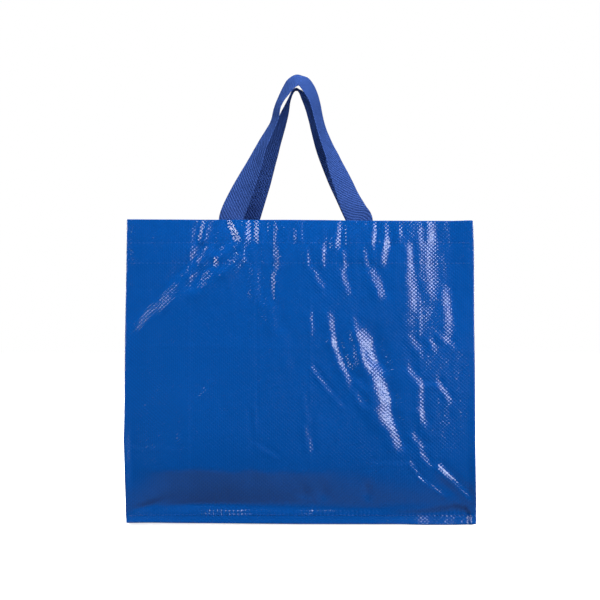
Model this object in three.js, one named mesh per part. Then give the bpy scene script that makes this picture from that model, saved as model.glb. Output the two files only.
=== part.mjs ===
// Open-mouthed shopping bag of laminated woven sheet with side gussets and two sewn webbing handles.
// Millimetres, +Z up. X runs across the width, the front face looks along -Y, the base rests on z = 0.
import * as THREE from "three";

// ---- driving dimensions -------------------------------------------------
const BAG_WIDTH = 430; // across the front, seam to seam
const BAG_HEIGHT = 375; // floor to the top of the hem
const SHEET = 0.5; // thickness of the laminated sheet
const GAP = 0.3; // clearance kept between neighbouring sheets

const HEM_DEPTH = 57; // how far the top hem is turned down inside
const HEM_PITCH = 1.0; // middle of the outer sheet to the middle of the turned-in sheet
const MOUTH_HALF = 45; // half the depth of the mouth, outer sheet
const HEM_LEAN = 0.12; // outward lean of the hem, mm per mm going down

const SEAM_HEIGHT = 13; // height of the stitched ridge along the two bottom edges
const RIDGE_FOOT = 69; // half the depth at the foot of the ridges
const FLOOR_HALF = 32; // half the depth of the strip of base lying flat on the floor

const GUSSET_INSET_TOP = 60; // how far the side pleat is drawn in at the mouth
const GUSSET_FLAT = 70; // height at the middle of the flat triangle at the foot of a gusset
const FLANGE = 10; // seam allowance of a gusset, inside the panel
const FLANGE_OFFSET = HEM_PITCH + SHEET + GAP; // panel middle to flange middle
const EDGE_CLEAR = 0.6; // gusset fold back from the panel's side edge

const WEBBING_WIDTH = 30;
const WEBBING_THICK = 1.4;
const WEBBING_OFFSET = HEM_PITCH + SHEET / 2 + 1.5 * GAP + WEBBING_THICK / 2; // panel middle to webbing middle
const WEBBING_SEWN = 50; // length of webbing held inside the hem
const WEBBING_STEPS = 84; // sections along a handle

// Outer sheet of the front, middle surface, half depth against height, below the hem.
const WALL = [
  [BAG_HEIGHT, MOUTH_HALF],
  [300, 54],
  [250, 60],
  [200, 65.6],
  [150, 70.6],
  [110, 73.6],
  [80, 74.75],
  [60, 74.4],
  [42, 72.6],
  [26, 69.4],
  [SEAM_HEIGHT + 1, 66.9],
];

// Base sheet from the inner side of the front ridge to the flat strip: half depth against height.
const BASE = [
  [64.7, SEAM_HEIGHT + 0.3],
  [60.5, 11.7],
  [54, 8.2],
  [47, 4.5],
  [40, 1.7],
  [FLOOR_HALF, SHEET / 2],
];

// Handle centre lines above the hem with the direction across the webbing:
// x, y, z, then the three parts of the cross direction. Both loops lean together.
const FRONT_LOOP = [
  [-83.2, -41.0, 384.0, -0.968, 0.03, 0.252],
  [-76.7, -37.1, 400.0, -0.906, 0.273, 0.322],
  [-66.8, -32.9, 422.6, -0.799, 0.547, 0.248],
  [-57.6, -29.1, 443.9, -0.647, 0.749, 0.143],
  [-48.8, -25.5, 465.3, -0.483, 0.873, 0.073],
  [-39.3, -22.4, 484.2, -0.384, 0.923, 0.036],
  [-31.8, -19.8, 500.0, -0.333, 0.942, -0.035],
  [-28.6, -17.5, 514.5, -0.323, 0.945, -0.058],
  [-24.7, -15.9, 524.4, -0.346, 0.938, 0.02],
  [-19.4, -14.5, 533.4, -0.38, 0.921, 0.086],
  [-14.3, -13.2, 541.7, -0.411, 0.897, 0.165],
  [-8.3, -12.1, 548.4, -0.38, 0.861, 0.339],
  [-2.4, -11.7, 551.2, -0.069, 0.856, 0.513],
  [3.6, -11.9, 549.7, 0.362, 0.856, 0.369],
  [9.3, -13.0, 542.8, 0.508, 0.836, 0.205],
  [14.4, -14.5, 533.4, 0.501, 0.86, 0.099],
  [18.1, -16.0, 523.9, 0.453, 0.891, 0.006],
  [21.0, -17.7, 513.2, 0.409, 0.911, -0.049],
  [23.7, -19.8, 500.3, 0.394, 0.918, -0.049],
  [27.8, -22.1, 486.1, 0.415, 0.91, -0.012],
  [34.0, -24.9, 469.1, 0.479, 0.877, 0.042],
  [40.0, -27.2, 455.2, 0.554, 0.829, 0.077],
  [44.4, -29.4, 442.7, 0.667, 0.734, 0.129],
  [51.1, -32.2, 426.3, 0.766, 0.613, 0.195],
  [60.9, -36.8, 401.3, 0.865, 0.412, 0.288],
  [69.2, -41.0, 384.0, 0.951, 0.037, 0.308],
];
const BACK_LOOP = [
  [-64.7, 41.0, 384.0, -0.973, -0.027, 0.229],
  [-58.2, 36.8, 404.5, -0.938, -0.213, 0.274],
  [-49.7, 32.4, 428.5, -0.866, -0.446, 0.224],
  [-42.3, 28.7, 449.9, -0.737, -0.659, 0.15],
  [-34.9, 25.3, 469.9, -0.583, -0.808, 0.082],
  [-27.5, 22.1, 489.4, -0.448, -0.894, 0.02],
  [-22.1, 19.7, 503.7, -0.354, -0.935, -0.025],
  [-18.2, 17.9, 515.0, -0.273, -0.96, -0.064],
  [-15.4, 16.4, 523.7, -0.178, -0.979, -0.097],
  [-13.0, 15.4, 529.9, -0.126, -0.986, -0.107],
  [-10.9, 14.6, 534.9, -0.102, -0.989, -0.107],
  [-8.1, 13.9, 539.6, -0.098, -0.993, -0.069],
  [-4.4, 13.5, 541.9, -0.019, -1.0, 0.019],
  [-0.9, 13.8, 540.4, 0.103, -0.994, -0.027],
  [2.3, 14.4, 536.6, 0.172, -0.984, -0.042],
  [5.8, 15.4, 530.4, 0.237, -0.971, -0.036],
  [9.2, 16.6, 522.9, 0.275, -0.96, -0.043],
  [12.6, 18.1, 513.7, 0.289, -0.955, -0.06],
  [16.8, 20.3, 500.0, 0.321, -0.946, -0.052],
  [21.9, 22.8, 485.0, 0.394, -0.919, -0.006],
  [28.5, 25.5, 468.7, 0.534, -0.839, 0.103],
  [37.4, 28.5, 451.1, 0.692, -0.683, 0.233],
  [48.9, 32.4, 428.5, 0.821, -0.463, 0.334],
  [61.7, 37.1, 403.3, 0.877, -0.277, 0.393],
  [71.2, 41.0, 384.0, 0.934, -0.042, 0.357],
];
const FRONT_ENDS = [-85.5, 74.6]; // where the webbing ends sit along the hem
const BACK_ENDS = [-66.9, 75.0];

// ---- helpers -------------------------------------------------------------
function table(rows, x) {
  // monotone straight-line look-up, rows in either order
  const up = rows[0][0] < rows[rows.length - 1][0] ? rows : [...rows].reverse();
  if (x <= up[0][0]) return up[0][1];
  for (let i = 1; i < up.length; i++)
    if (x <= up[i][0]) {
      const k = (x - up[i - 1][0]) / (up[i][0] - up[i - 1][0]);
      return up[i - 1][1] + k * (up[i][1] - up[i - 1][1]);
    }
  return up[up.length - 1][1];
}

// Smooth wall curve, sampled from the hem's lower edge to the seam.
const wallSpline = new THREE.CatmullRomCurve3(
  WALL.map(([z, y]) => new THREE.Vector3(-y, 0, z)),
  false,
  "centripetal",
);
const wallPoints = wallSpline
  .getPoints(60)
  .map((p) => new THREE.Vector2(p.x, p.z));
const wallTable = wallPoints.map((p) => [p.y, p.x]);
const wallAt = (z) => table(wallTable, z); // y of the front sheet's middle at height z

const baseSpline = new THREE.CatmullRomCurve3(
  BASE.map(([y, z]) => new THREE.Vector3(-y, 0, z)),
  false,
  "centripetal",
);
const basePoints = baseSpline
  .getPoints(20)
  .map((p) => new THREE.Vector2(p.x, p.z));
const baseTable = basePoints.map((p) => [p.x, p.y]);
const baseAt = (y) =>
  Math.abs(y) <= FLOOR_HALF ? SHEET / 2 : table(baseTable, -Math.abs(y));

// Offsets a polyline both ways and returns the closed outline of a sheet section.
function sheetOutline(path, thickness) {
  const half = thickness / 2;
  const left = [];
  const right = [];
  for (let i = 0; i < path.length; i++) {
    const a = path[Math.max(i - 1, 0)];
    const b = path[i];
    const c = path[Math.min(i + 1, path.length - 1)];
    const d1 = i > 0 ? b.clone().sub(a).normalize() : c.clone().sub(b).normalize();
    const d2 =
      i < path.length - 1 ? c.clone().sub(b).normalize() : d1.clone();
    const n1 = new THREE.Vector2(-d1.y, d1.x);
    const n2 = new THREE.Vector2(-d2.y, d2.x);
    const n = n1.clone().add(n2).normalize();
    const m = half / Math.max(n.dot(n1), 0.5);
    left.push(b.clone().addScaledVector(n, m));
    right.push(b.clone().addScaledVector(n, -m));
  }
  return [...left, ...right.reverse()];
}

// ---- main panel: front, base and back in one strip ------------------------
function halfPath() {
  // from the end of the turned-in hem, over the top fold, down the front, round the ridge, to the middle of the base
  const path = [];
  const top = BAG_HEIGHT - SHEET / 2 - HEM_PITCH / 2;
  const hemEnd = BAG_HEIGHT - HEM_DEPTH;
  for (let i = 0; i <= 8; i++) {
    const z = hemEnd + ((top - hemEnd) * i) / 8;
    path.push(new THREE.Vector2(wallAt(z) + HEM_PITCH, z));
  }
  const foldY = wallAt(top) + HEM_PITCH / 2;
  for (let i = 1; i < 6; i++) {
    const a = (Math.PI * i) / 6;
    path.push(
      new THREE.Vector2(
        foldY + (HEM_PITCH / 2) * Math.cos(a),
        top + (HEM_PITCH / 2) * Math.sin(a),
      ),
    );
  }
  path.push(new THREE.Vector2(wallAt(top), top));
  for (const p of wallPoints) if (p.y < top - 2) path.push(p.clone());
  // ridge: outer layer down, round fold on the floor, inner layer back up
  const inner = RIDGE_FOOT - HEM_PITCH;
  const foot = SHEET / 2 + HEM_PITCH / 2 + 0.01;
  path.push(new THREE.Vector2(-66.9, SEAM_HEIGHT - 1.5));
  path.push(new THREE.Vector2(-67.8, 6));
  path.push(new THREE.Vector2(-RIDGE_FOOT, foot));
  for (let i = 1; i < 6; i++) {
    const a = Math.PI + (Math.PI * i) / 6;
    path.push(
      new THREE.Vector2(
        -(RIDGE_FOOT - HEM_PITCH / 2) + (HEM_PITCH / 2) * Math.cos(a),
        foot + (HEM_PITCH / 2) * Math.sin(a),
      ),
    );
  }
  path.push(new THREE.Vector2(-inner, foot));
  path.push(new THREE.Vector2(-66.8, 6));
  path.push(new THREE.Vector2(-65.8, SEAM_HEIGHT - 1.5));
  for (const p of basePoints) path.push(p.clone());
  return path;
}

const front = halfPath();
const back = front.map((p) => new THREE.Vector2(-p.x, p.y)).reverse();
const outline = sheetOutline([...front, ...back], SHEET);
const panelShape = new THREE.Shape(outline);
const panelGeometry = new THREE.ExtrudeGeometry(panelShape, {
  depth: BAG_WIDTH,
  bevelEnabled: false,
  steps: 1,
});
// section plane (y, z) with the length along x
panelGeometry.applyMatrix4(
  new THREE.Matrix4().makeBasis(
    new THREE.Vector3(0, 1, 0),
    new THREE.Vector3(0, 0, 1),
    new THREE.Vector3(1, 0, 0),
  ),
);
panelGeometry.translate(-BAG_WIDTH / 2, 0, 0);

// ---- gussets ---------------------------------------------------------------
function gridSheet(rows, columns, at, thickness) {
  // closed thin sheet over a grid of points, thickness along the surface normal
  const grid = [];
  for (let j = 0; j < rows; j++) {
    grid.push([]);
    for (let i = 0; i < columns; i++) grid[j].push(at(i, j));
  }
  const sides = [[], []];
  for (let j = 0; j < rows; j++)
    for (let i = 0; i < columns; i++) {
      const du = grid[j][Math.min(i + 1, columns - 1)]
        .clone()
        .sub(grid[j][Math.max(i - 1, 0)])
        .normalize();
      const dv = grid[Math.min(j + 1, rows - 1)][i]
        .clone()
        .sub(grid[Math.max(j - 1, 0)][i])
        .normalize();
      const n = du.cross(dv).normalize();
      sides[0].push(grid[j][i].clone().addScaledVector(n, thickness / 2));
      sides[1].push(grid[j][i].clone().addScaledVector(n, -thickness / 2));
    }
  const count = rows * columns;
  const position = [...sides[0], ...sides[1]].flatMap((p) => [p.x, p.y, p.z]);
  const index = [];
  const id = (i, j, s) => s * count + j * columns + i;
  const quad = (a, b, c, d) => index.push(a, b, c, a, c, d);
  for (let j = 0; j + 1 < rows; j++)
    for (let i = 0; i + 1 < columns; i++) {
      quad(id(i, j, 0), id(i + 1, j, 0), id(i + 1, j + 1, 0), id(i, j + 1, 0));
      quad(id(i, j + 1, 1), id(i + 1, j + 1, 1), id(i + 1, j, 1), id(i, j, 1));
    }
  for (let i = 0; i + 1 < columns; i++) {
    quad(id(i, 0, 1), id(i + 1, 0, 1), id(i + 1, 0, 0), id(i, 0, 0));
    quad(
      id(i, rows - 1, 0),
      id(i + 1, rows - 1, 0),
      id(i + 1, rows - 1, 1),
      id(i, rows - 1, 1),
    );
  }
  for (let j = 0; j + 1 < rows; j++) {
    quad(id(0, j, 0), id(0, j + 1, 0), id(0, j + 1, 1), id(0, j, 1));
    quad(
      id(columns - 1, j, 1),
      id(columns - 1, j + 1, 1),
      id(columns - 1, j + 1, 0),
      id(columns - 1, j, 0),
    );
  }
  const geometry = new THREE.BufferGeometry();
  geometry.setAttribute(
    "position",
    new THREE.Float32BufferAttribute(position, 3),
  );
  geometry.setIndex(index);
  geometry.computeVertexNormals();
  return geometry;
}

const EDGE = BAG_WIDTH / 2 - EDGE_CLEAR;
const GUSSET_TOP = BAG_HEIGHT - 1;
const GUSSET_FOOT = SEAM_HEIGHT + 4; // where the flanges stop above the ridge
function insetAt(z, s) {
  // flat triangle at the foot, then drawn in evenly up to the mouth
  const start = GUSSET_FLAT * (1 - Math.abs(s));
  return (GUSSET_INSET_TOP * Math.max(0, z - start)) / (GUSSET_TOP - start);
}
// across a gusset: -1 at the front fold to 1 at the back fold, with a flange beyond each
const ACROSS = [-1, -0.96, -0.84, -0.64, -0.44, -0.26, -0.12, -0.04];
const HALF = [
  ...[0, 1].map((k) => ({ flange: 1 - k * 0.86 })),
  ...ACROSS.map((s) => ({ s })),
];
const COLUMNS = [
  ...HALF,
  { s: 0.0 },
  ...[...HALF].reverse().map((c) =>
    c.flange !== undefined ? { flange: c.flange, back: true } : { s: -c.s },
  ),
];
const ROWS = 20;
function gussetPoint(i, j) {
  const c = COLUMNS[i];
  const flange = c.flange !== undefined;
  const s = flange ? (c.back ? 1 : -1) : c.s;
  const footY = s * (-(wallAt(GUSSET_FOOT) + FLANGE_OFFSET));
  const foot =
    flange || Math.abs(s) > 0.93
      ? GUSSET_FOOT
      : Math.min(GUSSET_FOOT, baseAt(footY) + SHEET + GAP);
  const v = (j / (ROWS - 1)) ** 1.15;
  const z = foot + (GUSSET_TOP - foot) * v;
  const depth = -(wallAt(Math.max(z, GUSSET_FOOT)) + FLANGE_OFFSET);
  const inset = insetAt(z, s);
  if (flange)
    return new THREE.Vector3(EDGE - FLANGE * c.flange, s * depth, z);
  // pleat: straight from the fold to a softly rounded crease in the middle
  const crease = Math.sqrt(s * s + 0.0016) - 0.04;
  const across = 1 - crease / (Math.sqrt(1.0016) - 0.04);
  return new THREE.Vector3(EDGE - inset * across, s * depth, z);
}
function gussetGeometry(side) {
  // a mirrored gusset runs its columns the other way round so that its faces still look outwards
  const n = COLUMNS.length;
  return gridSheet(
    ROWS,
    n,
    (i, j) => {
      const p = gussetPoint(side > 0 ? i : n - 1 - i, j);
      p.x *= side;
      return p;
    },
    SHEET,
  );
}

// ---- handles ---------------------------------------------------------------
function handleGeometry(loop, ends, side) {
  // side -1: sewn inside the front hem, +1: inside the back hem
  const station = (x, z) => [
    x,
    -side * (wallAt(Math.min(z, BAG_HEIGHT)) + WEBBING_OFFSET),
    z,
  ];
  const low = BAG_HEIGHT - WEBBING_SEWN;
  const sewn = [0, 0.34, 0.68, 1];
  const rows = [
    ...sewn.map((k) => [
      ...station(ends[0], low + k * (BAG_HEIGHT + 1 - low)),
      -1,
      -side * HEM_LEAN * 0.08 * k,
      0.08 * k,
    ]),
    ...loop,
    ...[...sewn].reverse().map((k) => [
      ...station(ends[1], low + k * (BAG_HEIGHT + 1 - low)),
      1,
      -side * HEM_LEAN * 0.08 * k,
      0.08 * k,
    ]),
  ];
  const centre = new THREE.CatmullRomCurve3(
    rows.map((r) => new THREE.Vector3(r[0], r[1], r[2])),
    false,
    "centripetal",
  );
  const cross = new THREE.CatmullRomCurve3(
    rows.map((r) => new THREE.Vector3(r[3], r[4], r[5])),
    false,
    "catmullrom",
    0.3,
  );
  const position = [];
  const index = [];
  for (let k = 0; k <= WEBBING_STEPS; k++) {
    const t = k / WEBBING_STEPS;
    const p = centre.getPoint(t);
    const along = centre.getTangent(t);
    const w = cross.getPoint(t);
    w.addScaledVector(along, -w.dot(along)).normalize();
    const n = along.clone().cross(w).normalize();
    for (const [a, b] of [
      [-1, -1],
      [1, -1],
      [1, 1],
      [-1, 1],
    ]) {
      const q = p
        .clone()
        .addScaledVector(w, (a * WEBBING_WIDTH) / 2)
        .addScaledVector(n, (b * WEBBING_THICK) / 2);
      position.push(q.x, q.y, q.z);
    }
  }
  const quad = (a, b, c, d) => index.push(a, b, c, a, c, d);
  for (let k = 0; k < WEBBING_STEPS; k++)
    for (let e = 0; e < 4; e++) {
      const f = (e + 1) % 4;
      quad(4 * k + e, 4 * k + f, 4 * k + 4 + f, 4 * k + 4 + e);
    }
  const last = 4 * WEBBING_STEPS;
  quad(3, 2, 1, 0);
  quad(last, last + 1, last + 2, last + 3);
  const geometry = new THREE.BufferGeometry();
  geometry.setAttribute(
    "position",
    new THREE.Float32BufferAttribute(position, 3),
  );
  geometry.setIndex(index);
  geometry.computeVertexNormals();
  return geometry;
}

// ---- assembly ----------------------------------------------------------------
const laminate = new THREE.MeshStandardMaterial({
  color: 0x084d9c,
  roughness: 0.35,
  metalness: 0,
});
const webbing = new THREE.MeshStandardMaterial({
  color: 0x2c4b92,
  roughness: 0.8,
  metalness: 0,
});

const bag = new THREE.Group();
bag.name = "shopping_bag";
function add(name, geometry, material) {
  const mesh = new THREE.Mesh(geometry, material.clone());
  mesh.name = name;
  bag.add(mesh);
}
add("main_panel", panelGeometry, laminate);
add("left_gusset", gussetGeometry(-1), laminate);
add("right_gusset", gussetGeometry(1), laminate);
add("front_handle", handleGeometry(FRONT_LOOP, FRONT_ENDS, -1), webbing);
add("back_handle", handleGeometry(BACK_LOOP, BACK_ENDS, 1), webbing);

export default bag;
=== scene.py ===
import math

import bpy
import numpy as np
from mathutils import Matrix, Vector


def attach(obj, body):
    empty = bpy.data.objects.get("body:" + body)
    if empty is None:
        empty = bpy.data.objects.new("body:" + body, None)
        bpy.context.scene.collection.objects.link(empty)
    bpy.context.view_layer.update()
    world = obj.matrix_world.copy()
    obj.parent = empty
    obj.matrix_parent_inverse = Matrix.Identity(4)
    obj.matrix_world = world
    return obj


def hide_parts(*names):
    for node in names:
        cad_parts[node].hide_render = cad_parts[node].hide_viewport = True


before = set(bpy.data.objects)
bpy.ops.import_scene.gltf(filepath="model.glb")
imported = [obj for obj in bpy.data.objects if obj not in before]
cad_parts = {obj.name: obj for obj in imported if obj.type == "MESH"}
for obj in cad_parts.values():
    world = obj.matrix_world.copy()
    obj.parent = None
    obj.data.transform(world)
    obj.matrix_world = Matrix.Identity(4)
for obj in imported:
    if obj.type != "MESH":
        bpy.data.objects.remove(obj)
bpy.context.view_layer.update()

# All shapes below are worked out in millimetres in the part's frame and scaled once, when a mesh is made.
MM = 0.001

# ---------------------------------------------------------------- camera facts
CAM_Y, CAM_Z = -2875.0, 276.0  # where the camera stands
FOCAL_PX = 2290.5  # focal length in pixels of a 600 x 600 picture
MID_PX = 299.9

# ---------------------------------------------------------------- dimensions
WIDTH = 430.0
HALF_W = WIDTH / 2
HEIGHT = 375.0
HEM_LOW = HEIGHT - 57.0  # lower edge of the turned-in hem
HEM_ROW_1 = 346.5  # upper row of stitches
HEM_ROW_2 = 321.5  # lower row of stitches
SEAM_Z = 13.0  # row of stitches along the bottom ridges
GUSSET_IN = 60.0
GUSSET_FLAT = 70.0
STRAP_W, STRAP_T = 30.0, 1.4
STRAP_LOW = HEIGHT - 50.0
HEM_GAP = 0.9
STRAP_IN = 2.4  # front sheet to middle of the webbing
ROLL = 0.8  # radius of the rolled side edges
COLUMNS = 260  # points across the panel, without the rolled edges
STITCH = 3 * 2 * (HALF_W - ROLL) / (COLUMNS - 1)  # three columns to a stitch

WALL_Z = [14.0, 26.0, 42.0, 60.0, 80.0, 110.0, 150.0, 200.0, 250.0, 300.0, 375.0]
WALL_Y = [66.9, 69.4, 72.6, 74.4, 74.75, 73.6, 70.6, 65.6, 60.0, 54.0, 45.0]
BASE_Y = [64.7, 60.5, 54.0, 47.0, 40.0, 32.0, 16.0, 0.0]
BASE_Z = [13.3, 11.7, 8.2, 4.5, 1.7, 0.45, 0.3, 0.3]


# ---------------------------------------------------------------- small numeric helpers
def cubic(xs, ys):
    """Natural cubic through the points, held straight outside them."""
    x, y = np.asarray(xs, float), np.asarray(ys, float)
    if x[0] > x[-1]:
        x, y = x[::-1], y[::-1]
    n = len(x)
    h = np.diff(x)
    a = np.eye(n)
    r = np.zeros(n)
    for i in range(1, n - 1):
        a[i, i - 1], a[i, i], a[i, i + 1] = h[i - 1], 2 * (h[i - 1] + h[i]), h[i]
        r[i] = 6 * ((y[i + 1] - y[i]) / h[i] - (y[i] - y[i - 1]) / h[i - 1])
    m = np.linalg.solve(a, r)

    def f(q):
        q = np.asarray(q, float)
        i = np.clip(np.searchsorted(x, q) - 1, 0, n - 2)
        qc = np.clip(q, x[0], x[-1])
        t0, t1 = x[i + 1] - qc, qc - x[i]
        return (
            (m[i] * t0**3 + m[i + 1] * t1**3) / (6 * h[i])
            + (y[i] / h[i] - m[i] * h[i] / 6) * t0
            + (y[i + 1] / h[i] - m[i + 1] * h[i] / 6) * t1
        )

    return f


half_depth = cubic(WALL_Z, WALL_Y)
base_height = cubic(BASE_Y, BASE_Z)


def smooth(lo, hi, x):
    t = np.clip((np.asarray(x, float) - lo) / (hi - lo), 0, 1)
    return t * t * (3 - 2 * t)


def noise(x, y, seed):
    """Gradient noise, about -0.7 to 0.7, the same on every run."""
    x, y = np.broadcast_arrays(np.asarray(x, float), np.asarray(y, float))
    table = np.random.default_rng(seed).random((64, 64)) * 2 * np.pi
    xi, yi = np.floor(x).astype(int), np.floor(y).astype(int)
    xf, yf = x - xi, y - yi
    u = xf**3 * (xf * (xf * 6 - 15) + 10)
    v = yf**3 * (yf * (yf * 6 - 15) + 10)

    def corner(i, j):
        g = table[(xi + i) % 64, (yi + j) % 64]
        return np.cos(g) * (xf - i) + np.sin(g) * (yf - j)

    top = corner(0, 0) * (1 - u) + corner(1, 0) * u
    low = corner(0, 1) * (1 - u) + corner(1, 1) * u
    return top * (1 - v) + low * v


def front_at(px, py):
    """The point (x, z) of the front sheet that the camera sees at a picture position."""
    y = -60.0
    for _ in range(5):
        s = (y - CAM_Y) / FOCAL_PX
        x, z = (px - MID_PX) * s, CAM_Z + (300.0 - py) * s
        y = -float(half_depth(np.clip(z, 14, 375)))
    return x, z


# ---------------------------------------------------------------- relief of a sheet
# A fold is a line along which the sheet tilts: it falls away on the side it faces.
FACE = {
    "L": (-1, 0.0), "R": (1, 0.0), "U": (0.0, 1), "D": (0.0, -1),
    "UL": (-0.7, 0.7), "UR": (0.7, 0.7), "DL": (-0.7, -0.7), "DR": (0.7, -0.7),
}


def add_fold(d, X, Z, a, b, face, width, tilt):
    ax, az = a
    bx, bz = b
    dx, dz = bx - ax, bz - az
    length = math.hypot(dx, dz) or 1e-6
    dx, dz = dx / length, dz / length
    mx, mz = -dz, dx
    fx, fz = FACE[face]
    if mx * fx + mz * fz < 0:
        mx, mz = -mx, -mz
    reach = 4 * width + length
    near = (np.abs(X - (ax + bx) / 2) < reach) & (np.abs(Z - (az + bz) / 2) < reach)
    x, z = X[near] - ax, Z[near] - az
    q = (x * mx + z * mz) / width
    along = x * dx + z * dz
    over = np.maximum(0, np.maximum(-along, along - length)) / (1.2 * width)
    d[near] += -math.tan(math.radians(tilt)) * width * q * np.exp(-q * q / 2) * np.exp(-over * over)


def add_line(d, X, Z, a, b, width, height):
    """A sharp crease, up or down."""
    ax, az = a
    bx, bz = b
    dx, dz = bx - ax, bz - az
    length = math.hypot(dx, dz) or 1e-6
    dx, dz = dx / length, dz / length
    x, z = X - ax, Z - az
    q = np.abs(x * -dz + z * dx) / width
    along = x * dx + z * dz
    over = np.maximum(0, np.maximum(-along, along - length)) / (2.0 * width)
    d += height * np.exp(-np.sqrt(q * q + 0.02)) * np.exp(-over * over)


def add_mound(d, X, Z, c, rx, rz, height, turn=0.0):
    x, z = X - c[0], Z - c[1]
    t = math.radians(turn)
    u, v = x * math.cos(t) + z * math.sin(t), -x * math.sin(t) + z * math.cos(t)
    d += height * np.exp(-((u / rx) ** 2) - ((v / rz) ** 2))


def strap_print(X, Z, centre, height=0.5):
    """The webbing end pressing through the hem from behind."""
    soft = 6.0
    inside = smooth(-STRAP_W / 2 - soft, -STRAP_W / 2 + 1.0, X - centre) * (
        1 - smooth(STRAP_W / 2 - 1.0, STRAP_W / 2 + soft, X - centre)
    )
    return height * inside * smooth(STRAP_LOW - 5, STRAP_LOW + 2, Z)


FRONT_ENDS = (-85.5, 74.6)
BACK_ENDS = (-66.9, 75.0)

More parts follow.
